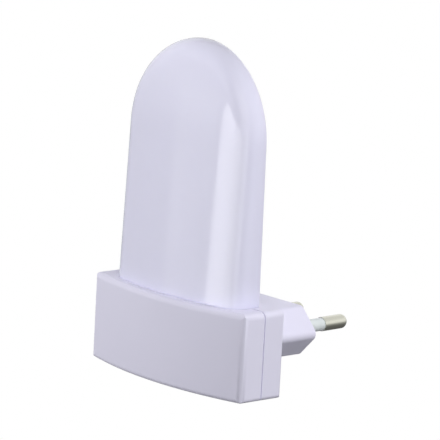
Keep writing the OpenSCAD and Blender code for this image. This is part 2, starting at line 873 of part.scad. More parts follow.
front_shell();
back_cover();
diffuser();
pin(-1);  // pin_left
pin(1);  // pin_right
sleeve(-1);  // sleeve_left
sleeve(1);  // sleeve_right
pin_carrier();
lead(-1);  // lead_left
lead(1);  // lead_right
circuit_board();
led(1);  // led_1
led(2);  // led_2
led(3);  // led_3
led(4);  // led_4
mains_capacitor();
smoothing_capacitor();
bridge_rectifier();
fusible_resistor();
bleed_resistor();
current_resistor();
solder_joints();
housing_screws();
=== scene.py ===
"""Looks of a plug-in night light: a bowed housing with its plug and a leaning opal diffuser.

Sizes are written in millimetres and turned into Blender's metres by mm(). +Z is up, +Y points
into the wall and the origin is the centre of the plug's end face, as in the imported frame.
"""

import logging
import math
from collections.abc import Callable, Sequence
from dataclasses import dataclass
from enum import Enum
from functools import partial

import bmesh
import bpy
from bmesh.types import BMesh, BMFace, BMVert
from bpy.types import ID, Material, Mesh, Node, NodeSocket, NodeTree, Object
from mathutils import Matrix, Vector


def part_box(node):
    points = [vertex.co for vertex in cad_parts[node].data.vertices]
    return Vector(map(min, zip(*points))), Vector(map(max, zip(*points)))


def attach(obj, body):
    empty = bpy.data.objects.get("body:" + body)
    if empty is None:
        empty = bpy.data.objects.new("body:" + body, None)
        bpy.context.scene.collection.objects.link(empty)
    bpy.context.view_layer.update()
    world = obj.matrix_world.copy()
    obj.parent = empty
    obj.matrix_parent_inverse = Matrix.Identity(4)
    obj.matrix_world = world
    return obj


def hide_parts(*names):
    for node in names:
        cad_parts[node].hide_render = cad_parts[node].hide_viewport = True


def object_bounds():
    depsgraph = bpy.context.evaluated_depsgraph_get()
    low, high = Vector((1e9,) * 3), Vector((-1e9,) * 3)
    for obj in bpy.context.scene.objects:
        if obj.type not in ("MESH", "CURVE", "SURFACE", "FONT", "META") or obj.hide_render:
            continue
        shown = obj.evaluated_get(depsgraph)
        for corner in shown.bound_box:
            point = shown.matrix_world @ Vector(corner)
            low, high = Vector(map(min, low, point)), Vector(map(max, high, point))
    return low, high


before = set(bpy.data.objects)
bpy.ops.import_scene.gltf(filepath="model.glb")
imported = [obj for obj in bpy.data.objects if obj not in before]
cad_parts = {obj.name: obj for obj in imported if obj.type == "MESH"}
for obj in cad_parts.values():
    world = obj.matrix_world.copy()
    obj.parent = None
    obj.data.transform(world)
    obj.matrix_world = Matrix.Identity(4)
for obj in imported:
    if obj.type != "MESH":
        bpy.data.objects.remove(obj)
CAD_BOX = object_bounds()

LOG = logging.getLogger("night_light")
BODY = "root"
QUARTER = math.pi / 2

Colour = tuple[float, float, float, float]
Feed = float | Sequence | Material | Node | NodeSocket
Adder = Callable[..., Node]


def mm(*values: float) -> float | Vector:
    """Turns millimetres into metres: one number stays a number, three become a Vector."""
    return values[0] / 1000 if len(values) == 1 else Vector(values) / 1000


def srgb(code: str) -> Colour:
    """Turns a colour written as sRGB hex into linear light.

    Args:
        code: six hex digits after a hash.

    Returns:
        Linear red, green, blue and an alpha of 1.
    """
    channels = [int(code[i : i + 2], 16) / 255 for i in (1, 3, 5)]
    linear = [c / 12.92 if c <= 0.04045 else ((c + 0.055) / 1.055) ** 2.4 for c in channels]
    return (*linear, 1.0)


class Kind(str, Enum):
    """Nodes that are used more than once, with the operation behind a colon where they have one."""

    ADD = "ShaderNodeMath:ADD"
    SUBTRACT = "ShaderNodeMath:SUBTRACT"
    MULTIPLY = "ShaderNodeMath:MULTIPLY"
    DIVIDE = "ShaderNodeMath:DIVIDE"
    POWER = "ShaderNodeMath:POWER"
    SINE = "ShaderNodeMath:SINE"
    COSINE = "ShaderNodeMath:COSINE"
    MAXIMUM = "ShaderNodeMath:MAXIMUM"
    CLAMP = "ShaderNodeClamp"
    RANGE = "ShaderNodeMapRange"
    COORDINATES = "ShaderNodeTexCoord"
    NOISE = "ShaderNodeTexNoise"
    BACKGROUND = "ShaderNodeBackground"
    MIX_SHADER = "ShaderNodeMixShader"
    VECTOR = "ShaderNodeCombineXYZ"
    PARTS = "ShaderNodeSeparateXYZ"
    POSITION = "GeometryNodeInputPosition"
    SHAPE = "GeometryNodeSetPosition"
    MOVE = "GeometryNodeTransform"
    BLOCK = "GeometryNodeMeshCube"
    CYLINDER = "GeometryNodeMeshCylinder"
    LINE = "GeometryNodeCurvePrimitiveLine"
    CIRCLE = "GeometryNodeCurvePrimitiveCircle"
    SPIRAL = "GeometryNodeCurveSpiral"
    ROUTE = "GeometryNodeMeshToCurve"
    SWEEP = "GeometryNodeCurveToMesh"
    CUT = "GeometryNodeMeshBoolean:DIFFERENCE"
    JOIN = "GeometryNodeJoinGeometry"
    COPIES = "GeometryNodeInstanceOnPoints"
    REALIZE = "GeometryNodeRealizeInstances"


def add_node(tree: NodeTree, kind: str, *feeds: Feed, **named: Feed) -> Node:
    """Adds a node with its settings and links.

    Args:
        tree: the tree that gets the node.
        kind: the node's Blender type, with its operation behind a colon where it has one.
        feeds: what its first open inputs get: a value, a socket, a node for its first output,
            or a list of these for an input that takes many.
        named: attributes of the node in small letters, and inputs by name, spaces as underscores.

    Returns:
        The new node.
    """
    kind, _, operation = kind.partition(":")
    node = tree.nodes.new(kind)
    if operation:
        node.operation = operation
    for name in filter(str.islower, named):
        setattr(node, name, named[name])
    pairs = list(zip((socket for socket in node.inputs if socket.enabled), feeds))
    pairs += [(node.inputs[n.replace("_", " ")], v) for n, v in named.items() if not n.islower()]
    for socket, value in pairs:
        for feed in reversed(value) if isinstance(value, list) else (value,):
            if isinstance(feed, Node):
                feed = next(output for output in feed.outputs if output.enabled)
            if isinstance(feed, NodeSocket):
                tree.links.new(feed, socket)
            else:
                socket.default_value = feed
    return node


def put(name: str, data: ID) -> Object:
    """Makes an object and links it to the scene.

    Args:
        name: the object's name.
        data: its mesh, light or camera.

    Returns:
        The new object.
    """
    made = bpy.data.objects.new(name, data)
    bpy.context.scene.collection.objects.link(made)
    return made


# ---------- finishes ----------


class Texture(Enum):
    """How a surface was made, each with the detail of its relief."""

    MOULDED = 4.0
    LACQUERED = 2.0
    POLISHED = 1.0
    TURNED = 0.0


@dataclass(frozen=True)
class Finish:
    """A surface: what it is made of and how it was made.

    Args:
        name: what a maker would call it.
        colour: its usual colour, as sRGB hex.
        mottle: the colour that it drifts to and back.
        texture: how the surface was made.
        roughness: its middle roughness.
        grain_mm: distance between the marks of its relief.
        relief_mm: depth of those marks.
        metallic: 1 for a metal.
        ior: refractive index, left out for a metal.
        scatter: share of light that enters and spreads.
        scatter_mm: how far it spreads.
        drift_mm: distance over which the colour drifts.
        unevenness: share of its roughness that comes and goes with the relief.
    """

    name: str
    colour: str
    mottle: str
    texture: Texture = Texture.MOULDED
    roughness: float = 0.4
    grain_mm: float = 0.35
    relief_mm: float = 0.004
    metallic: float = 0.0
    ior: float = 1.5
    scatter: float = 0.0
    scatter_mm: float = 1.0
    drift_mm: float = 14.0
    unevenness: float = 0.12

    def build(self) -> Material:
        """Builds the material, once.

        Returns:
            The material, the same one at each call.
        """
        made = bpy.data.materials.get(self.name)
        if made:
            return made
        material = bpy.data.materials.new(self.name)
        material.use_nodes = True
        material.node_tree.nodes.clear()
        add = partial(add_node, material.node_tree)
        place = add(Kind.COORDINATES).outputs["Object"]
        marks = self._marks(add, place)
        drift = add(Kind.NOISE, place, Scale=1 / mm(self.drift_mm), Detail=3.0, Roughness=0.45)
        low, high = (self.roughness * (1 + way * self.unevenness) for way in (-1, 1))
        own = {"Metallic": self.metallic} if self.metallic else {"IOR": self.ior}
        if self.scatter:
            own["Subsurface_Weight"] = self.scatter
            own["Subsurface_Scale"] = mm(self.scatter_mm)
            own["Subsurface_Radius"] = (1.0, 1.0, 1.0)
        shader = add(
            "ShaderNodeBsdfPrincipled",
            add("ShaderNodeMix", drift, srgb(self.colour), srgb(self.mottle), data_type="RGBA"),
            Roughness=add(Kind.RANGE, marks, To_Min=low, To_Max=high),
            Normal=add("ShaderNodeBump", Strength=0.6, Distance=mm(self.relief_mm), Height=marks),
            **own,
        )
        add("ShaderNodeOutputMaterial", shader)
        return material

    def _marks(self, add: Adder, place: NodeSocket) -> NodeSocket:
        """Draws the relief of the surface on object coordinates.

        Args:
            add: what adds a node to the material's tree.
            place: the object coordinates.

        Returns:
            The socket with the relief, from 0 to 1.
        """
        if self.texture is Texture.TURNED:
            # Rings round a pin, whose axis is all but the object's Y. At scale 1 the node's
            # crests are 2 pi / 20 apart
            scale = 2 * math.pi / 20 / mm(self.grain_mm)
            rings = add(
                "ShaderNodeTexWave", place, bands_direction="Y", Scale=scale, Distortion=0.4
            )
            return rings.outputs["Fac"]
        fine = self.texture.value
        noise = add(Kind.NOISE, place, Scale=1 / mm(self.grain_mm), Detail=fine, Roughness=0.55)
        return noise.outputs["Fac"]


# ABS from a spark-eroded tool: satin, with an even grain, drawn coarser than the real 0.1 mm
HOUSING_ABS = Finish(
    "moulded_abs", "#e5e3f5", "#e2e0f2", roughness=0.42, ior=1.52, scatter=0.06, scatter_mm=0.8
)
# Opal polycarbonate from a polished tool: glossy, milky, no grain, a faint flow in its skin
OPAL_PC = Finish(
    "opal_polycarbonate", "#e8e7fe", "#e5e4fb", Texture.POLISHED, 0.07, 3.0, 0.002,
    ior=1.58, scatter=0.25, scatter_mm=2.0,
)
# Nickel on turned brass: warm grey mirror with faint rings, far wider apart than the lathe's
# feed of 0.1 mm, which wouldn't show
NICKEL = Finish(
    "nickel_plated_brass", "#e4e4d8", "#d9d8ca", Texture.TURNED, 0.2, 3.1416, 0.0005, metallic=1.0
)
# Smooth PBT: slightly see-through, so it looks greyer than the housing
SLEEVE_PBT = Finish(
    "moulded_pbt", "#dfe5e5", "#d9e0e1", roughness=0.32, grain_mm=0.5, relief_mm=0.002, scatter=0.2
)
# Natural nylon: a waxy ivory block
CARRIER_NYLON = Finish("natural_nylon", "#ece8dc", "#e4dfd0", roughness=0.45, scatter=0.2)
# Extruded PVC: smooth, with one soft highlight along the lead
BLUE_PVC = Finish("blue_pvc", "#2746a8", "#203c94", roughness=0.38, relief_mm=0.002)
BROWN_PVC = Finish("brown_pvc", "#6a3d21", "#5c341b", roughness=0.38, relief_mm=0.002)
# White mask on glass laminate: a thin lacquer that is never quite even
LAMINATE = Finish("white_solder_mask", "#dfe2d8", "#d6dace", Texture.LACQUERED, 0.34, 0.6, 0.002)
# Copper under that mask: the board's gloss, a shade darker
MASKED_COPPER = Finish(
    "copper_under_mask", "#c9cfc0", "#bfc6b4", Texture.LACQUERED, 0.32, 0.6, 0.002
)
# Tinned copper wire: fine warm glints
BARE_COPPER = Finish(
    "tinned_copper_strand", "#cfa98a", "#c49c7c", Texture.POLISHED, 0.28, 0.3, 0.001, metallic=1.0
)
# Moulded PPA: dead white and dull
LED_BODY = Finish("white_ppa", "#f1f0ea", "#e9e8e1", roughness=0.4, grain_mm=0.2, relief_mm=0.001)
# Phosphor in clear resin: a glossy yellow drop
LED_WINDOW = Finish("led_phosphor", "#f3e27c", "#eed866", Texture.POLISHED, 0.25, 0.4, 0.002)
# Resin round a film capacitor: glossy brick red
FILM_EPOXY = Finish("red_box_resin", "#a8321f", "#992b1a", Texture.LACQUERED, 0.3, 0.8, 0.003)
# Film shrunk on an aluminium can: dark blue with a tight gloss
CAN_SLEEVE = Finish("shrink_sleeve", "#222e55", "#1c274a", Texture.LACQUERED, 0.3, 0.9, 0.003)
# Filled epoxy: dull black
BRIDGE_EPOXY = Finish("moulded_epoxy", "#26272b", "#1f2024", roughness=0.6)
# Dipped lacquer: an uneven gloss over a small body
GREEN_LACQUER = Finish("green_lacquer", "#4f7c63", "#456f58", Texture.LACQUERED, 0.25, 0.5, 0.003)
TAN_LACQUER = Finish("tan_lacquer", "#c6a06a", "#b9935e", Texture.LACQUERED, 0.25, 0.5, 0.003)
BLUE_LACQUER = Finish("blue_lacquer", "#6ea2bd", "#6296b2", Texture.LACQUERED, 0.25, 0.5, 0.003)
# Tin solder: bright, slightly crinkled as it froze
SOLDER_TIN = Finish(
    "tin_solder", "#c9cacd", "#b9babf", Texture.POLISHED, 0.25, 0.5, 0.004, metallic=1.0
)
# Zinc on steel: cool grey with a soft gloss
ZINC_STEEL = Finish(
    "zinc_plated_steel", "#b7b9bf", "#a9acb4", Texture.POLISHED, 0.3, 0.4, 0.003, metallic=1.0
)

CAD_FINISHES: dict[str, Finish] = {
    "pin_carrier": CARRIER_NYLON,
    "circuit_board": LAMINATE,
    "mains_capacitor": FILM_EPOXY,
    "smoothing_capacitor": CAN_SLEEVE,
    "bridge_rectifier": BRIDGE_EPOXY,
    "fusible_resistor": GREEN_LACQUER,
    "bleed_resistor": TAN_LACQUER,
    "current_resistor": BLUE_LACQUER,
}


def dress_frame() -> None:
    """Gives every CAD node that stays its finish."""
    for name, finish in CAD_FINISHES.items():
        dress(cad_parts[name].data, finish)
        LOG.info("%s: %s", name, finish.name)


def dress(mesh: Mesh, finish: Finish) -> None:
    """Gives a mesh one finish in place of what it has."""
    mesh.materials.clear()
    mesh.materials.append(finish.build())


# ---------- Geometry Nodes and meshes ----------


class Recipe:
    """A Geometry Nodes tree with named sizes, turned into plain meshes by make()."""

    def __init__(self, name: str) -> None:
        """Starts an empty tree.

        Args:
            name: what the tree makes.
        """
        self.tree = bpy.data.node_groups.new(name, "GeometryNodeTree")
        for way in ("INPUT", "OUTPUT"):
            self.tree.interface.new_socket("Geometry", in_out=way, socket_type="NodeSocketGeometry")
        self.add: Adder = partial(add_node, self.tree)
        self.entry = self.add("NodeGroupInput")
        self.values: dict[str, float] = {}

    def sizes(self, **values: float) -> list[NodeSocket]:
        """Adds named numbers to the tree's inputs.

        Args:
            values: each number by its name, spaces written as underscores.

        Returns:
            The sockets that carry them.
        """
        kind = {"in_out": "INPUT", "socket_type": "NodeSocketFloat"}
        sockets = []
        for name, value in values.items():
            item = self.tree.interface.new_socket(name.replace("_", " "), **kind)
            item.default_value = value
            self.values[item.identifier] = value
            sockets.append(self.entry.outputs[item.name])
        return sockets

    @property
    def base(self) -> NodeSocket:
        """The mesh that the tree runs on, whose points or edges carry its pieces."""
        return self.entry.outputs["Geometry"]

    def turn_bar(self, bar: Node, share: Node, high: NodeSocket) -> Node:
        """Turns a round bar to a profile and stands it on its seat.

        Args:
            bar: the bar, with its middle at the origin.
            share: what its points' distance from the axis is multiplied by.
            high: the bar's height.

        Returns:
            The node with the turned bar.
        """
        x, y, z = self.add(Kind.PARTS, self.add(Kind.POSITION)).outputs
        x, y = (self.add(Kind.MULTIPLY, term, share) for term in (x, y))
        turned = self.add(Kind.SHAPE, bar, Position=self.add(Kind.VECTOR, x, y, z))
        up = self.add(Kind.VECTOR, Z=self.add(Kind.MULTIPLY, high, 0.5))
        return self.add(Kind.MOVE, turned, Translation=up)

    def close(self, shape: Node, finish: Finish) -> "Recipe":
        """Ends the tree: instances are realized and the material is set.

        Args:
            shape: the node with the finished shape.
            finish: what the shape is made of.

        Returns:
            The recipe itself, ready for make().
        """
        real = self.add(Kind.REALIZE, shape)
        dressed = self.add("GeometryNodeSetMaterial", real, Material=finish.build())
        self.add("NodeGroupOutput", dressed)
        return self

    def spread(self, shape: Node, finish: Finish, turn: float = 0.0) -> "Recipe":
        """Ends the tree with a copy of the shape on each point, turned about X."""
        copies = self.add(Kind.COPIES, self.base, Instance=shape, Rotation=(turn, 0, 0))
        return self.close(copies, finish)

    def make(
        self, name: str, points: Sequence[Vector] = (), edges: Sequence[tuple[int, int]] = ()
    ) -> Object:
        """Runs the tree on a mesh of points and edges.

        Args:
            name: the new piece's name.
            points: the mesh's points, such as the places of the tree's instances.
            edges: the mesh's edges, such as the routes that the tree follows.

        Returns:
            A plain object at the origin whose mesh is the tree's result.
        """
        mesh = bpy.data.meshes.new(f"{name}_base")
        mesh.from_pydata(points, edges, [])
        source = put(mesh.name, mesh)
        modifier = source.modifiers.new(self.tree.name, "NODES")
        modifier.node_group = self.tree
        for identifier, value in self.values.items():
            modifier[identifier] = value
        return bake(source, name)


def bake(source: Object, name: str) -> Object:
    """Turns an object with modifiers into a plain one and removes the first.

    Args:
        source: the object whose modifiers are applied.
        name: the new piece's name.

    Returns:
        The plain object, whose one material is the first that the result has.
    """
    seen = source.evaluated_get(bpy.context.evaluated_depsgraph_get())
    mesh = bpy.data.meshes.new_from_object(seen)
    mesh.name = name
    made = [material for material in mesh.materials if material]
    mesh.materials.clear()
    if made:
        mesh.materials.append(made[0])
        mesh.polygons.foreach_set("material_index", [0] * len(mesh.polygons))
    bpy.data.objects.remove(source)
    return put(name, mesh)


def unite(name: str, parts: Sequence[Object]) -> Object:
    """Joins plain pieces of one material into one.

    Args:
        name: the new piece's name.
        parts: the pieces, which are removed.

    Returns:
        The joined piece.
    """
    work = bmesh.new()
    for part in parts:
        work.from_mesh(part.data)
    mesh = bpy.data.meshes.new(name)
    work.to_mesh(mesh)
    work.free()
    mesh.materials.append(parts[0].data.materials[0])
    for part in parts:
        bpy.data.objects.remove(part)
    return put(name, mesh)


def soften(piece: Object, angle: float = 32.0) -> Object:
    """Shades a piece smooth, except over its sharp edges.

    Args:
        piece: the piece.
        angle: the smallest angle over a sharp edge, in degrees.

    Returns:
        The same piece.
    """
    piece.data.shade_smooth()
    piece.data.set_sharp_from_angle(angle=math.radians(angle))
    return piece


def hand_over(piece: Object, slot: str, *nodes: str) -> None:
    """Lets a finished piece ride on the body and stand for CAD nodes.

    Args:
        piece: the piece.
        slot: not used.
        nodes: names of the CAD nodes that the piece replaces.
    """
    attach(piece, BODY)
    if nodes:
        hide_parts(*nodes)
    LOG.info("%s: %d faces, for %s", piece.name, len(piece.data.polygons), nodes or "no node")


# ---------- sub-assemblies ----------


@dataclass
class Diffuser:
    """The opal cap: a D-shaped plan run up and turned half round, leaning back about its foot."""

    half_w: float = 24.95
    rise: float = 43.8
    foot_drop: float = 3.5
    bow_r: float = 102.0
    corner_r: float = 6.0
    y_front: float = -40.05
    y_back: float = -28.2
    z_foot: float = 12.15
    lean: float = 2.0
    draft: float = 0.8
    wall: float = 1.4
    edge_r: float = 0.25
    edge_angle: float = 50.0
    flange: tuple[float, float, float] = (2.2, 8.0, 1.5)
    flange_back: float = 1.2
    bow_points: int = 24
    corner_points: int = 18
    rows: int = 97
    rise_share: float = 1 / 6
    slack: float = 0.1
    merge: float = 0.002

    def build(self) -> None:
        """Builds the cap with its wall and flange, in the CAD node's place."""
        cap = self._skin()
        wall = cap.modifiers.new("wall", "SOLIDIFY")
        wall.thickness = mm(self.wall)
        wall.offset = -1.0
        wall.use_even_offset = True
        edge = cap.modifiers.new("edge", "BEVEL")
        edge.width = mm(self.edge_r)
        edge.segments = 2
        edge.limit_method = "ANGLE"
        edge.angle_limit = math.radians(self.edge_angle)
        cap = bake(cap, "diffuser_cap")
        self._add_flange(cap.data)
        hand_over(soften(cap), "opal_diffuser", "diffuser")

    def _skin(self) -> Object:
        """Runs the tree that draws the cap's outer skin.

        Returns:
            The skin, open at its foot.
        """
        r = Recipe("turned_half_round_cap")
        add = r.add
        half_w, rise, drop, bow, corner, back, lean, draft = r.sizes(
            Half_width=mm(self.half_w),
            Straight_rise=mm(self.rise),
            Foot_below_the_roof=mm(self.foot_drop),
            Bow_radius=mm(self.bow_r),
            Corner_radius=mm(self.corner_r),
            Depth=mm(self.y_back - self.y_front),
            Lean=math.radians(self.lean),
            Draft=math.radians(self.draft),
        )
        # Right half of the plan: bow, corner, side and back, with the front's middle at the origin
        centre_x = add(Kind.SUBTRACT, half_w, corner)
        inner = add(Kind.SUBTRACT, bow, corner)
        turn = add("ShaderNodeMath:ARCSINE", add(Kind.DIVIDE, centre_x, inner))
        centre_y = add(Kind.SUBTRACT, bow, add(Kind.MULTIPLY, inner, add(Kind.COSINE, turn)))
        start, sweep = add(Kind.SUBTRACT, turn, QUARTER), add(Kind.SUBTRACT, QUARTER, turn)
        curves = []
        for count, radius, first, angle, x, y in (
            (self.bow_points, bow, -QUARTER, turn, 0.0, bow),
            (self.corner_points, corner, start, sweep, centre_x, centre_y),
        ):
            arc = add(
                "GeometryNodeCurveArc", count, Radius=radius, Start_Angle=first, Sweep_Angle=angle
            )
            curves.append(add(Kind.MOVE, arc, Translation=add(Kind.VECTOR, x, y)))
        ends = [add(Kind.VECTOR, *xy) for xy in ((half_w, centre_y), (half_w, back), (0.0, back))]
        curves += [add(Kind.LINE, Start=first, End=last) for first, last in zip(ends, ends[1:])]
        plan = add("GeometryNodeCurveToPoints", add(Kind.JOIN, curves), mode="EVALUATED")
        # A grid whose columns run along the plan and whose rows run up, over and down again;
        # the side and the back have two points each
        columns, rows = self.bow_points + self.corner_points + 4, self.rows
        grid = add(
            "GeometryNodeMeshGrid",
            Size_X=columns - 1,
            Size_Y=rows - 1,
            Vertices_X=columns,
            Vertices_Y=rows,
        )
        at = add(Kind.PARTS, add(Kind.POSITION)).outputs
        column = add("ShaderNodeMath:ROUND", add(Kind.ADD, at["X"], (columns - 1) / 2))
        along = add(Kind.DIVIDE, add(Kind.ADD, at["Y"], (rows - 1) / 2), rows - 1)
        sample = add(
            "GeometryNodeSampleIndex",
            plan,
            data_type="FLOAT_VECTOR",
            domain="POINT",
            Value=add(Kind.POSITION),
            Index=column,
        )
        x, y, _ = add(Kind.PARTS, sample).outputs
        over = add(Kind.DIVIDE, add(Kind.SUBTRACT, along, self.rise_share), 1 - 2 * self.rise_share)
        angle = add(Kind.MULTIPLY, add(Kind.CLAMP, over), math.pi)
        low = add("ShaderNodeMath:MINIMUM", along, add(Kind.SUBTRACT, 1.0, along))
        climb = add(Kind.CLAMP, add(Kind.DIVIDE, low, self.rise_share))
        sunk = add(Kind.SUBTRACT, add(Kind.MULTIPLY, y, add(Kind.SINE, lean)), drop)
        foot = add(Kind.DIVIDE, sunk, add(Kind.COSINE, lean))
        straight = add(Kind.ADD, foot, add(Kind.MULTIPLY, climb, add(Kind.SUBTRACT, rise, foot)))
        z = add(Kind.ADD, straight, add(Kind.MULTIPLY, x, add(Kind.SINE, angle)))
        # What lies behind the corner is the flat back: it leans forward by its draft, so its
        # depth falls with height
        both = add(Kind.ADD, lean, draft)
        deep = add(Kind.MULTIPLY, back, add(Kind.COSINE, draft))
        lost = add(Kind.MULTIPLY, z, add("ShaderNodeMath:TANGENT", both))
        depth = add(Kind.SUBTRACT, add(Kind.DIVIDE, deep, add(Kind.COSINE, both)), lost)
        side_end = add(Kind.ADD, centre_y, mm(self.slack))
        is_back = add("ShaderNodeMath:GREATER_THAN", y, side_end)
        y_out = add(Kind.ADD, y, add(Kind.MULTIPLY, is_back, add(Kind.SUBTRACT, depth, y)))
        x_out = add(Kind.MULTIPLY, x, add(Kind.COSINE, angle))
        shape = add(Kind.SHAPE, grid, Position=add(Kind.VECTOR, x_out, y_out, z))
        leaned = add(
            Kind.MOVE,
            add("GeometryNodeMergeByDistance", shape, Distance=mm(self.merge)),
            Translation=mm(0, self.y_front, self.z_foot),
            Rotation=add(Kind.VECTOR, add(Kind.MULTIPLY, lean, -1.0)),
        )
        return r.close(leaned, OPAL_PC).make("diffuser_skin")

    def _add_flange(self, mesh: Mesh) -> None:
        """Adds the flange that the two shells hold, as three closed strips let into the wall.

        Args:
            mesh: the cap's mesh, which gets them.
        """
        width, depth, thick = self.flange
        half, inner = self.half_w, self.half_w - self.wall / 2
        y0, y1 = self.y_back - self.wall / 2, self.y_back + self.flange_back
        z0 = self.z_foot - self.foot_drop
        work = bmesh.new()
        work.from_mesh(mesh)
        for low, high in (
            ((-half - width, y1 - depth, z0), (-inner, y1, z0 + thick)),
            ((inner, y1 - depth, z0), (half + width, y1, z0 + thick)),
            ((-inner, y0, z0), (inner, y1, z0 + thick)),
        ):
            middle = (Vector(low) + Vector(high)) / 2
            size = Vector(high) - Vector(low)
            for vertex in bmesh.ops.create_cube(work, size=1.0)["verts"]:
                vertex.co = mm(*(middle[i] + vertex.co[i] * size[i] for i in range(3)))
        work.to_mesh(mesh)
        work.free()


@dataclass
class Mouldings:
    """The housing's two halves, the pins and their sleeves, with their curves shaded smooth."""

    merge: float = 0.0005
    sharp: float = 32.0
    level: float = 0.3
    flat_mm2: float = 60.0
    pieces: tuple[tuple[str, str, Finish], ...] = (
        ("front_shell", "housing_plastic", HOUSING_ABS),
        ("back_cover", "housing_plastic", HOUSING_ABS),
        ("pin_left", "plated_brass", NICKEL),
        ("pin_right", "plated_brass", NICKEL),
        ("sleeve_left", "sleeve_plastic", SLEEVE_PBT),
        ("sleeve_right", "sleeve_plastic", SLEEVE_PBT),
    )

    def build(self) -> None:
        """Copies each node with its doubles merged, shades the copy and dresses it."""
        for node, slot, finish in self.pieces:
            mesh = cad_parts[node].data.copy()
            work = bmesh.new()
            work.from_mesh(mesh)
            bmesh.ops.remove_doubles(work, verts=work.verts, dist=mm(self.merge))
            work.to_mesh(mesh)
            work.free()
            self._shade(mesh)
            mesh.name = f"{node}_skin"
            dress(mesh, finish)
            hand_over(put(mesh.name, mesh), slot, node)

    def _shade(self, mesh: Mesh) -> None:
        """Shades the mesh smooth: where a rounding meets a large flat, the flat's normal rules.

        Args:
            mesh: the copy, whose flats are still cut into triangles.
        """
        mesh.shade_smooth()
        work = bmesh.new()
        work.from_mesh(mesh)
        flat = self._flats(work)
        normals: dict[tuple[int, int], Vector] = {}
        for vertex in work.verts:
            left = set(vertex.link_faces)
            while left:
                fan = self._group(left.pop(), left, self.sharp, vertex)
                ruling = [face for face in fan if face.index in flat]
                total = Vector()
                for face in ruling or fan:
                    corner = next(loop for loop in face.loops if loop.vert == vertex)
                    total += face.normal * (face.calc_area() if ruling else corner.calc_angle())
                for face in fan:
                    own = total.normalized() if total.length else face.normal.copy()
                    normals[face.index, vertex.index] = own
        mesh.normals_split_custom_set(
            [normals[face.index, loop.vert.index] for face in work.faces for loop in face.loops]
        )
        work.free()

    def _flats(self, work: BMesh) -> set[int]:
        """Finds the faces of the large flats.

        Args:
            work: the mesh, whose faces are grouped where they lie in one plane.

        Returns:
            The indices of the faces in a group of at least flat_mm2.
        """
        left, found = set(work.faces), set()
        for first in work.faces:
            if first in left:
                left.remove(first)
                group = self._group(first, left, self.level)
                if sum(face.calc_area() for face in group) > self.flat_mm2 / 1e6:
                    found.update(face.index for face in group)
        return found

    def _group(
        self, first: BMFace, left: set[BMFace], angle: float, about: BMVert | None = None
    ) -> list[BMFace]:
        """Gathers faces that join over edges flatter than an angle.

        Args:
            first: the face to start from.
            left: the faces that may join, which are taken out as they do.
            angle: the largest angle over an edge, in degrees.
            about: a vertex that the edges have to meet, where one is given.

        Returns:
            The first face and all that join it.
        """
        group = [first]
        for face in group:
            for edge in face.edges:
                if about and about not in edge.verts:
                    continue
                for other in left.intersection(edge.link_faces):
                    if face.normal.angle(other.normal, math.pi) < math.radians(angle):
                        left.remove(other)
                        group.append(other)
        return group


@dataclass
class Diodes:
    """Four diodes on the board's tongue: white bodies, each with a round yellow window."""

    nodes: tuple[str, ...] = ("led_1", "led_2", "led_3", "led_4")
    rim: float = 0.25
    window_depth: float = 0.25
    window_rise: float = 0.08
    sides: int = 40

    def build(self) -> None:
        """Builds the bodies and the windows as one piece each."""
        boxes = [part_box(node) for node in self.nodes]
        size = boxes[0][1] - boxes[0][0]
        fronts = [Vector(((a.x + b.x) / 2, a.y, (a.z + b.z) / 2)) for a, b in boxes]
        bodies = self._bodies(size).make("diode_bodies", fronts)
        hand_over(soften(bodies), "led_body", *self.nodes)
        windows = self._windows(size).make("diode_windows", fronts)
        hand_over(soften(windows), "led_body")

    def _bodies(self, size: Vector) -> Recipe:
        """Draws a body: a block with a round pocket in its front, which faces -Y.

        Args:
            size: the body's width, depth and height in metres.

        Returns:
            The tree that sets a body on each point.
        """
        r = Recipe("diode_body")
        add = r.add
        wide, deep, high, pocket = r.sizes(
            Width=size.x, Depth=size.y, Height=size.z, Pocket_radius=size.x / 2 - mm(self.rim)
        )
        half = add(Kind.MULTIPLY, deep, 0.5)
        forward = add(Kind.VECTOR, Y=add(Kind.MULTIPLY, half, -1.0))
        block = add(Kind.BLOCK, add(Kind.VECTOR, wide, deep, high))
        drill = add(
            Kind.CYLINDER, Vertices=self.sides, Radius=pocket, Depth=mm(2 * self.window_depth)
        )
        turned = add(Kind.MOVE, drill, Rotation=(QUARTER, 0, 0), Translation=forward)
        cut = add(Kind.CUT, Mesh_1=block, Mesh_2=turned, solver="EXACT")
        seated = add(Kind.MOVE, cut, Translation=add(Kind.VECTOR, Y=half))
        return r.spread(seated, LED_BODY)

    def _windows(self, size: Vector) -> Recipe:
        """Draws a window: a low dome of resin that fills the pocket.

        Args:
            size: the body's width, depth and height in metres.

        Returns:
            The tree that sets a window on each point.
        """
        r = Recipe("diode_window")
        add = r.add
        radius, dome = r.sizes(Window_radius=size.x / 2 - mm(self.rim), Dome=mm(self.window_rise))
        disc = add(
            Kind.CYLINDER,
            Vertices=self.sides,
            Fill_Segments=5,
            Radius=radius,
            Depth=mm(self.window_depth - self.window_rise),
        )
        at = add(Kind.PARTS, add(Kind.POSITION)).outputs
        x2, y2, r2 = (add(Kind.MULTIPLY, term, term) for term in (at["X"], at["Y"], radius))
        share = add(Kind.DIVIDE, add(Kind.ADD, x2, y2), r2)
        bulge = add(Kind.MULTIPLY, dome, add(Kind.SUBTRACT, 1.0, share))
        bulge = add(Kind.VECTOR, Z=bulge)
        domed = add(Kind.SHAPE, disc, Selection=disc.outputs["Top"], Offset=bulge)
        seat = mm(0, (self.window_depth + self.window_rise) / 2, 0)
        turned = add(Kind.MOVE, domed, Rotation=(QUARTER, 0, 0), Translation=seat)
        return r.spread(turned, LED_WINDOW)


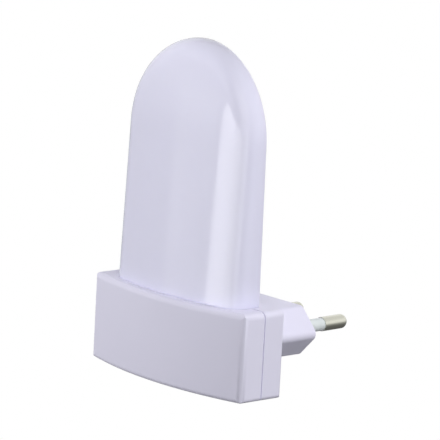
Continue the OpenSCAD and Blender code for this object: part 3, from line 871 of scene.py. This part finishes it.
@dataclass
class Screws:
    """Two self-tapping screws with a low head, a crossed slot and a cut thread."""

    centre_x: float = 24.1
    seat_y: float = -26.5
    head_d: float = 4.8
    head_h: float = 1.7
    round_from: float = 0.4
    round_share: float = 0.28
    round_power: float = 2.5
    head_sides: int = 48
    head_rows: int = 12
    shank_d: float = 2.2
    shank_sides: int = 32
    length: float = 10.0
    tip: float = 1.6
    tip_d: float = 0.55
    slot: tuple[float, float, float] = (2.8, 0.8, 1.0)
    pitch: float = 0.9
    thread: float = 0.18
    tip_gap: float = 0.4
    head_gap: float = 0.8
    thread_sides: int = 4
    thread_steps: int = 24

    def build(self) -> None:
        """Builds both screws as one piece."""
        seats = [mm(side * self.centre_x, self.seat_y, 0) for side in (-1, 1)]
        screws = self._tree().make("thread_cutting_screws", seats)
        hand_over(soften(screws), "screw_steel", "housing_screws")

    def _tree(self) -> Recipe:
        """Draws a screw with its head towards +Z.

        Returns:
            The tree that sets one on each seat, with its tip towards +Y.
        """
        r = Recipe("self_tapping_screw")
        add = r.add
        head_h, shank_r, length, tip = r.sizes(
            Head_height=mm(self.head_h),
            Shank_radius=mm(self.shank_d / 2),
            Length=mm(self.length),
            Tip_length=mm(self.tip),
        )
        head, bars = self._head(r, head_h), self._bars(r, head_h)
        cut = add(Kind.CUT, Mesh_1=head, Mesh_2=bars, solver="EXACT")
        shank_l = add(Kind.SUBTRACT, length, tip)
        shank = add(Kind.CYLINDER, Vertices=self.shank_sides, Radius=shank_r, Depth=shank_l)
        point = add(
            "GeometryNodeMeshCone",
            Vertices=self.shank_sides,
            Radius_Top=shank_r,
            Radius_Bottom=mm(self.tip_d / 2),
            Depth=tip,
        )
        hung = [
            add(Kind.MOVE, part, Translation=add(Kind.VECTOR, Z=add(Kind.MULTIPLY, *down)))
            for part, down in ((shank, (shank_l, -0.5)), (point, (length, -1.0)))
        ]
        return r.spread(add(Kind.JOIN, [cut, *hung, self._thread(r)]), ZINC_STEEL, -QUARTER)

    def _head(self, r: Recipe, head_h: NodeSocket) -> Node:
        """Draws the head, whose upper part narrows towards its top.

        Args:
            r: the screw's tree.
            head_h: the head's height.

        Returns:
            The node with the head, standing on its seat.
        """
        add = r.add
        (head_r,) = r.sizes(Head_radius=mm(self.head_d / 2))
        sides, rows = self.head_sides, self.head_rows
        bar = add(Kind.CYLINDER, Vertices=sides, Side_Segments=rows, Radius=head_r, Depth=head_h)
        z = add(Kind.PARTS, add(Kind.POSITION)).outputs["Z"]
        level = add(Kind.ADD, add(Kind.DIVIDE, z, head_h), 0.5)
        above = add(Kind.DIVIDE, add(Kind.SUBTRACT, level, self.round_from), 1 - self.round_from)
        curve = add(Kind.POWER, add(Kind.MAXIMUM, above, 0.0), self.round_power)
        share = add(Kind.SUBTRACT, 1.0, add(Kind.MULTIPLY, curve, self.round_share))
        return r.turn_bar(bar, share, head_h)

    def _bars(self, r: Recipe, head_h: NodeSocket) -> list[Node]:
        """Draws what is cut out of the head's top.

        Args:
            r: the screw's tree.
            head_h: the head's height.

        Returns:
            The nodes of two crossed bars.
        """
        long, wide, deep = self.slot
        top = r.add(Kind.VECTOR, Z=head_h)
        return [
            r.add(Kind.MOVE, r.add(Kind.BLOCK, mm(*size)), Translation=top)
            for size in ((wide, long, 2 * deep), (long, wide, 2 * deep))
        ]

    def _thread(self, r: Recipe) -> Node:
        """Winds a ridge round the shank.

        Args:
            r: the screw's tree.

        Returns:
            The node with the thread.
        """
        run = self.length - self.tip
        turns = (run - self.tip_gap - self.head_gap) / self.pitch
        helix = r.add(
            Kind.SPIRAL,
            self.thread_steps,
            Rotations=turns,
            Start_Radius=mm(self.shank_d / 2),
            End_Radius=mm(self.shank_d / 2),
            Height=mm(turns * self.pitch),
        )
        ridge = r.add(Kind.CIRCLE, self.thread_sides, mode="RADIUS", Radius=mm(self.thread))
        thread = r.add(Kind.SWEEP, helix, Profile_Curve=ridge, Fill_Caps=True)
        return r.add(Kind.MOVE, thread, Translation=mm(0, 0, self.tip_gap - run))


@dataclass
class Board:
    """What is printed and soldered on the laminate: rings round its holes, tracks and cones."""

    back_y: float = -31.4
    front_y: float = -33.0
    lead_x: float = 5.23
    film: tuple[float, float] = (-13.65, 0.25)
    film_pitch: float = 7.5
    can: tuple[float, float] = (7.2, 5.05)
    can_pitch: float = 2.0
    axial: tuple[tuple[float, float, float], ...] = (
        (12.7, -3.45, 10.0),
        (-13.25, -7.2, 8.9),
        (13.25, -7.2, 8.9),
    )
    wire_d: float = 0.6
    strand_d: float = 0.8
    cone_r: float = 0.9
    cone_h: float = 0.8
    cone_flare: float = 2.2
    cone_sides: int = 24
    cone_rows: int = 8
    rim: float = 0.12
    ring_r: float = 1.15
    ring_sides: int = 32
    copper: float = 0.05
    track_w: float = 0.7

    def holes(self) -> list[tuple[float, float]]:
        """Finds the places of the components' wires across the board.

        Returns:
            Each place as x and z in millimetres.
        """
        places = [(self.film[0] + s * self.film_pitch / 2, self.film[1]) for s in (-1, 1)]
        places += [(self.can[0], self.can[1] + s * self.can_pitch / 2) for s in (-1, 1)]
        places += [(x + s * pitch / 2, z) for x, z, pitch in self.axial for s in (-1, 1)]
        return places

    def build(self) -> None:
        """Builds the cones, the rings and the tracks."""
        back = [mm(x, self.back_y, z) for x, z in self.holes()]
        front = [mm(side * self.lead_x, self.front_y, 0) for side in (-1, 1)]
        faces = (("back", back, self.wire_d, -QUARTER), ("front", front, self.strand_d, QUARTER))
        cones = [self._cones(name, wire, turn).make(name, at) for name, at, wire, turn in faces]
        hand_over(soften(unite("solder_cones", cones)), "solder", "solder_joints")
        rings = [self._rings(name, turn).make(name, at) for name, at, _, turn in faces]
        hand_over(soften(unite("tinned_rings", rings)), "solder")
        tracks = self._tracks().make("copper_tracks", *self._routes())
        hand_over(soften(tracks), "board_laminate")

    def _cones(self, name: str, wire_d: float, turn: float) -> Recipe:
        """Draws solder that climbs a wire: wide and thin at its foot, with a hollow flank.

        Args:
            name: the board's face.
            wire_d: the wire's diameter.
            turn: the cones' turn about X.

        Returns:
            The tree that sets a cone on each point.
        """
        r = Recipe(f"{name}_cones")
        add = r.add
        top_r = wire_d / 2 + self.rim
        foot, top, high = r.sizes(
            Foot_radius=mm(self.cone_r), Top_radius=mm(top_r), Height=mm(self.cone_h)
        )
        sides, rows = self.cone_sides, self.cone_rows
        bar = add(Kind.CYLINDER, Vertices=sides, Side_Segments=rows, Radius=1.0, Depth=high)
        z = add(Kind.PARTS, add(Kind.POSITION)).outputs["Z"]
        level = add(Kind.SUBTRACT, 0.5, add(Kind.DIVIDE, z, high))
        flare = add(Kind.POWER, add(Kind.MAXIMUM, level, 0.0), self.cone_flare)
        radius = add(Kind.ADD, top, add(Kind.MULTIPLY, add(Kind.SUBTRACT, foot, top), flare))
        return r.spread(r.turn_bar(bar, radius, high), SOLDER_TIN, turn)

    def _rings(self, name: str, turn: float) -> Recipe:
        """Draws a thin tinned ring.

        Args:
            name: the board's face.
            turn: the rings' turn about X.

        Returns:
            The tree that sets a ring on each point.
        """
        r = Recipe(f"{name}_rings")
        (radius,) = r.sizes(Ring_radius=mm(self.ring_r))
        disc = r.add(Kind.CYLINDER, Vertices=self.ring_sides, Radius=radius, Depth=mm(self.copper))
        return r.spread(disc, SOLDER_TIN, turn)

    def _routes(self) -> tuple[list[Vector], list[tuple[int, int]]]:
        """Lays out the middle lines of the tracks, flat, with y for the height on the board.

        Returns:
            Their points and edges.
        """
        h = self.holes()
        runs = (
            (h[0], (-17.4, 3.6), (-19.4, 3.6)),
            (h[1], (-6.6, 3.4), (-6.6, 7.0), (-1.4, 7.0), (-1.4, 55.0)),
            (h[2], (5.2, 2.0), (3.6, 2.0)),
            (h[3], (4.0, 6.05), (1.4, 8.0), (1.4, 57.5)),
            (h[4], (5.4, -3.45), (3.2, -1.4)),
            (h[6], (-17.7, -3.4), h[0]),
            (h[7], (-6.0, -7.2), (-2.4, -3.4)),
            (h[8], (4.6, -7.2), (2.4, -5.2)),
            (h[9], (17.7, -5.2), h[5]),
        )
        points, edges = [], []
        for run in runs:
            edges += [(len(points) + i, len(points) + i + 1) for i in range(len(run) - 1)]
            points += [mm(x, z, 0) for x, z in run]
        return points, edges

    def _tracks(self) -> Recipe:
        """Draws flat strips that follow the routes and then stand up on the board's back.

        Returns:
            The tree that runs on the routes.
        """
        r = Recipe("board_tracks")
        add = r.add
        width, thick = r.sizes(Track_width=mm(self.track_w), Copper=mm(self.copper))
        turned = add("GeometryNodeSetCurveNormal", add(Kind.ROUTE, r.base), mode="Z_UP")
        strip = add(
            "GeometryNodeCurvePrimitiveQuadrilateral", mode="RECTANGLE", Width=width, Height=thick
        )
        swept = add(Kind.SWEEP, turned, Profile_Curve=strip, Fill_Caps=True)
        back = mm(0, self.back_y, 0)
        stood = add(Kind.MOVE, swept, Rotation=(QUARTER, 0, 0), Translation=back)
        return r.close(stood, MASKED_COPPER)


@dataclass
class Leads:
    """Two short leads from the pins' cups to the board, insulated and bare at both ends."""

    root_gap: float = 18.6
    tip_gap: float = 17.5
    pin_l: float = 19.0
    shift: float = 5.0
    lead_d: float = 1.6
    strand_d: float = 0.8
    tail_end: float = -8.5
    board_end: float = -31.22
    cup: float = 2.5
    tail: float = 2.5
    strands: int = 6
    lay: float = 5.0
    bend_steps: int = 12
    lead_sides: int = 32
    strand_sides: int = 10
    strand_steps: int = 16
    sharp: float = 60.0

    def build(self) -> None:
        """Builds the insulation and the twisted strands of both leads."""
        cup = (self.tail_end + self.cup, self.cup + self.lead_d, 0.0)
        board = (self.board_end + self.lead_d, self.tail + self.lead_d, self.shift)
        for side, name, colour, finish in (
            (-1, "left", "blue", BLUE_PVC),
            (1, "right", "brown", BROWN_PVC),
        ):
            tube = self._insulation(name, finish)
            sleeve = tube.make(f"lead_{name}_insulation", *self._route(side))
            hand_over(soften(sleeve), f"{colour}_insulation", f"lead_{name}")
            ends = [
                self._strands(name, length).make(name, [mm(-side * inset, y, 0)])
                for y, length, inset in (cup, board)
            ]
            bundle = unite(f"lead_{name}_strands", ends)
            bundle.data.transform(self._turn(side))
            hand_over(soften(bundle, self.sharp), "solder")

    def _turn(self, side: int) -> Matrix:
        """Finds the pin's own frame: moved to its root and turned by its lean.

        Args:
            side: -1 for the left pin, 1 for the right one.

        Returns:
            The matrix from that frame into the shared one.
        """
        lean = math.atan((self.root_gap - self.tip_gap) / 2 / self.pin_l)
        root = Matrix.Translation(mm(side * self.root_gap / 2, 0, 0))
        return root @ Matrix.Rotation(side * lean, 4, "Z")

    def _route(self, side: int) -> tuple[list[Vector], list[tuple[int, int]]]:
        """Lays out a lead: straight, two quarter bends towards the middle, straight.

        Args:
            side: -1 for the left lead, 1 for the right one.

        Returns:
            The points and edges of its middle line.
        """
        r, middle = self.shift / 2, (self.tail_end + self.board_end) / 2
        turns = [i / self.bend_steps * QUARTER for i in range(self.bend_steps + 1)]
        path = [(0.0, self.tail_end)]
        path += [(r - r * math.cos(t), middle + r - r * math.sin(t)) for t in turns]
        path += [(r + r * math.sin(t), middle - r + r * math.cos(t)) for t in turns[1:]]
        path += [(2 * r, self.board_end)]
        turn = self._turn(side)
        points = [turn @ mm(-side * inset, y, 0) for inset, y in path]
        return points, [(i, i + 1) for i in range(len(points) - 1)]

    def _insulation(self, name: str, finish: Finish) -> Recipe:
        """Draws a round sleeve along the route.

        Args:
            name: the lead's side.
            finish: what the sleeve is made of.

        Returns:
            The tree that runs on the route.
        """
        r = Recipe(f"{name}_insulation")
        (radius,) = r.sizes(Insulation_radius=mm(self.lead_d / 2))
        ring = r.add(Kind.CIRCLE, self.lead_sides, mode="RADIUS", Radius=radius)
        route = r.add(Kind.ROUTE, r.base)
        return r.close(r.add(Kind.SWEEP, route, Profile_Curve=ring, Fill_Caps=True), finish)

    def _strands(self, name: str, length: float) -> Recipe:
        """Draws six strands wound round a straight seventh, which lie along the pin's line.

        Args:
            name: the lead's side.
            length: how long they are.

        Returns:
            The tree that sets a bundle on each point.
        """
        r = Recipe(f"{name}_strands")
        add = r.add
        single = self.strand_d / 6  # radius: three strands side by side make up the bundle
        (thin,) = r.sizes(Strand_radius=mm(single))
        helix = add(
            Kind.SPIRAL,
            self.strand_steps,
            Rotations=length / self.lay,
            Start_Radius=mm(2 * single),
            End_Radius=mm(2 * single),
            Height=mm(length),
        )
        core = add(Kind.LINE, End=mm(0, 0, length))
        ring = add(Kind.CIRCLE, self.strand_sides, mode="RADIUS", Radius=thin)
        outer, inner = (
            add(Kind.SWEEP, curve, Profile_Curve=ring, Fill_Caps=True) for curve in (helix, core)
        )
        hub = add("GeometryNodePoints", self.strands)
        turn = add(Kind.MULTIPLY, add("GeometryNodeInputIndex"), 2 * math.pi / self.strands)
        wound = add(Kind.COPIES, hub, Instance=outer, Rotation=add(Kind.VECTOR, Z=turn))
        real = add(Kind.REALIZE, add(Kind.JOIN, [wound, inner]))
        return r.spread(real, BARE_COPPER, QUARTER)


# ---------- studio ----------


def direction(azimuth: float, elevation: float) -> Vector:
    """Points away from the object: azimuth 0 is straight in front and 90 on its right."""
    a, e = math.radians(azimuth), math.radians(elevation)
    return Vector((math.sin(a) * math.cos(e), -math.cos(a) * math.cos(e), math.sin(e)))


@dataclass
class Softbox:
    """A rectangular soft light that faces a point of the object.

    Args:
        name: where it stands.
        azimuth: degrees round the object; 0 is straight in front, 90 on its right.
        elevation: degrees above the horizon.
        power: watts.
        width_mm: width of its face.
        height_mm: height of its face.
        only_gloss: for a white card that just draws a highlight.
        receivers: names of the pieces that it shines on, all when empty.
        kept_off: names of the pieces that a flag shades from it.
        distance_mm: distance from the point that it faces.
    """

    name: str
    azimuth: float
    elevation: float
    power: float
    width_mm: float = 420.0
    height_mm: float = 420.0
    only_gloss: bool = False
    receivers: tuple[str, ...] = ()
    kept_off: tuple[str, ...] = ()
    distance_mm: float = 900.0

    def build(self, target: Vector) -> None:
        """Adds the light to the scene.

        Args:
            target: the point that it faces.
        """
        away = direction(self.azimuth, self.elevation)
        data = bpy.data.lights.new(self.name, "AREA")
        data.shape = "RECTANGLE"
        data.size, data.size_y = mm(self.width_mm), mm(self.height_mm)
        data.energy = self.power
        light = put(self.name, data)
        light.location = target + away * mm(self.distance_mm)
        light.rotation_mode = "QUATERNION"
        light.rotation_quaternion = away.to_track_quat("Z", "Y")
        light.visible_glossy = self.only_gloss
        light.visible_diffuse = not self.only_gloss
        if self.receivers or self.kept_off:
            flagged = bpy.data.collections.new(f"{self.name}_receivers")
            for name in self.receivers + self.kept_off:
                flagged.objects.link(bpy.data.objects[name])
                if name in self.kept_off:
                    flagged.collection_objects[-1].light_linking.link_state = "EXCLUDE"
            light.light_linking.receiver_collection = flagged


CAP = ("diffuser_cap",)
card = partial(Softbox, only_gloss=True, receivers=CAP)


@dataclass
class Studio:
    """Camera, floor, sky and lamps."""

    azimuth: float = 48.0393
    elevation: float = 11.1612
    roll: float = 3.0903
    distance_mm: float = 966.6
    lens_mm: float = 293.714
    sensor_mm: float = 36.0
    aim_mm: tuple[float, float, float] = (2.3023, -23.4488, 31.1252)
    floor_drop_mm: float = 330.0
    floor_reach_mm: float = 400.0
    floor_fade: tuple[float, float] = (0.45, 0.98)
    floor_sides: int = 96
    ambient: float = 0.01
    ground: float = 0.11
    horizon: float = 0.6
    mirrored: tuple[tuple[float, float], ...] = (
        (0.0, 0.06),
        (0.28, 0.17),
        (0.42, 0.38),
        (0.54, 0.90),
        (0.62, 1.0),
        (0.72, 1.0),
        (0.82, 0.82),
        (1.0, 0.75),
    )
    lamps: tuple[Softbox, ...] = (
        Softbox("left_softbox", -56, 5, 6.0),
        Softbox("right_softbox", 54, 36, 5.1),
        Softbox("back_softbox", 128, 27, 4.5, kept_off=CAP),
        Softbox("wall_softbox", 212, 0, 4.0),
        Softbox("low_softbox", 128, -4, 2.7, receivers=CAP),
        Softbox("crown_softbox", 75, 42, 1.3, receivers=CAP),
        card("white_card", -2.6, -17, 6.7, 900, 760),
        card("side_card", -39, -17, 0.42, 300, 760),
        card("grey_card", 42, -19, 2.5, 600, 690),
        card("upper_card", 42, 27, 1.6, 600, 900),
    )

    def build(self) -> None:
        """Builds the whole studio."""
        self._camera()
        self._world()
        self._floor()
        for lamp in self.lamps:
            lamp.build(mm(*self.aim_mm))
            LOG.info("%s: %.2f W", lamp.name, lamp.power)
        bpy.context.scene.view_settings.view_transform = "Standard"

    def _camera(self) -> None:
        """Adds the camera, turned about its own axis by the roll."""
        a, roll = math.radians(self.azimuth), math.radians(self.roll)
        back = direction(self.azimuth, self.elevation)
        right = Vector((math.cos(a), math.sin(a), 0))
        up = back.cross(right)
        turned_right = right * math.cos(roll) + up * math.sin(roll)
        turned_up = up * math.cos(roll) - right * math.sin(roll)
        data = bpy.data.cameras.new("camera")
        data.sensor_width = self.sensor_mm
        data.lens = self.lens_mm
        data.clip_start, data.clip_end = 0.01, 20.0
        camera = put("camera", data)
        place = Matrix.Translation(mm(*self.aim_mm) + back * mm(self.distance_mm))
        turn = Matrix((turned_right, turned_up, back)).transposed()
        camera.matrix_world = place @ turn.to_4x4()
        bpy.context.scene.camera = camera

    def _world(self) -> None:
        """White where it is seen or looked through; gloss sees it darker below, as over a bench."""
        world = bpy.data.worlds.new("studio")
        bpy.context.scene.world = world
        world.use_nodes = True
        world.node_tree.nodes.clear()
        add = partial(add_node, world.node_tree)
        height = add(Kind.PARTS, add(Kind.COORDINATES).outputs["Generated"]).outputs["Z"]
        level = add(
            Kind.RANGE,
            height,
            interpolation_type="SMOOTHSTEP",
            From_Min=-self.horizon,
            From_Max=self.horizon,
            To_Min=self.ground,
            To_Max=self.ambient,
        )
        white = srgb("#ffffff")
        sky = add(Kind.BACKGROUND, white, Strength=level)
        # What gloss sees is stepped by height, from straight below at 0 to straight above at 1
        bench = add("ShaderNodeValToRGB", add(Kind.RANGE, height, From_Min=-1.0))
        stops = bench.color_ramp.elements
        for stop, (_, strength) in zip(stops, (self.mirrored[0], self.mirrored[-1])):
            stop.color = (strength, strength, strength, 1.0)
        for share, strength in self.mirrored[1:-1]:
            stops.new(share).color = (strength, strength, strength, 1.0)
        rays = add("ShaderNodeLightPath").outputs
        gloss = rays["Is Glossy Ray"]
        less = add(Kind.SUBTRACT, bench, 1.0)
        strength = add("ShaderNodeMath:MULTIPLY_ADD", gloss, less, 1.0)
        seen = add(Kind.BACKGROUND, white, Strength=strength)
        through = add(Kind.MAXIMUM, rays["Is Camera Ray"], rays["Is Transmission Ray"])
        direct = add(Kind.MAXIMUM, through, gloss)
        add("ShaderNodeOutputWorld", add(Kind.MIX_SHADER, direct, sky, seen))

    def _floor(self) -> None:
        """A pale round floor far below, which fades out towards its rim."""
        reach, centre = mm(self.floor_reach_mm), mm(*self.aim_mm)
        centre.z = CAD_BOX[0].z - mm(self.floor_drop_mm)
        turns = [2 * math.pi * i / self.floor_sides for i in range(self.floor_sides)]
        ring = [centre + reach * Vector((math.cos(t), math.sin(t), 0)) for t in turns]
        mesh = bpy.data.meshes.new("floor")
        mesh.from_pydata(ring, [], [range(self.floor_sides)])
        material = bpy.data.materials.new("pale_floor")
        material.use_nodes = True
        material.node_tree.nodes.clear()
        add = partial(add_node, material.node_tree)
        place = add(Kind.COORDINATES).outputs["Object"]
        away = add("ShaderNodeVectorMath:DISTANCE", place, centre)
        first, last = (share * reach for share in self.floor_fade)
        fade = add(
            Kind.RANGE, away, interpolation_type="SMOOTHSTEP", From_Min=first, From_Max=last
        )
        paint = add("ShaderNodeBsdfPrincipled", srgb("#e4e4e8"), Roughness=0.9)
        clear = add("ShaderNodeBsdfTransparent")
        add("ShaderNodeOutputMaterial", add(Kind.MIX_SHADER, fade, paint, clear))
        mesh.materials.append(material)
        floor = put("floor", mesh)
        floor.visible_glossy = False


def main() -> None:
    """Dresses the frame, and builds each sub-assembly and the studio."""
    logging.basicConfig(level=logging.INFO, format="%(name)s: %(message)s")
    dress_frame()
    Diffuser().build()
    Mouldings().build()
    Diodes().build()
    Board().build()
    Leads().build()
    Screws().build()
    Studio().build()


if __name__ == "__main__":
    main()
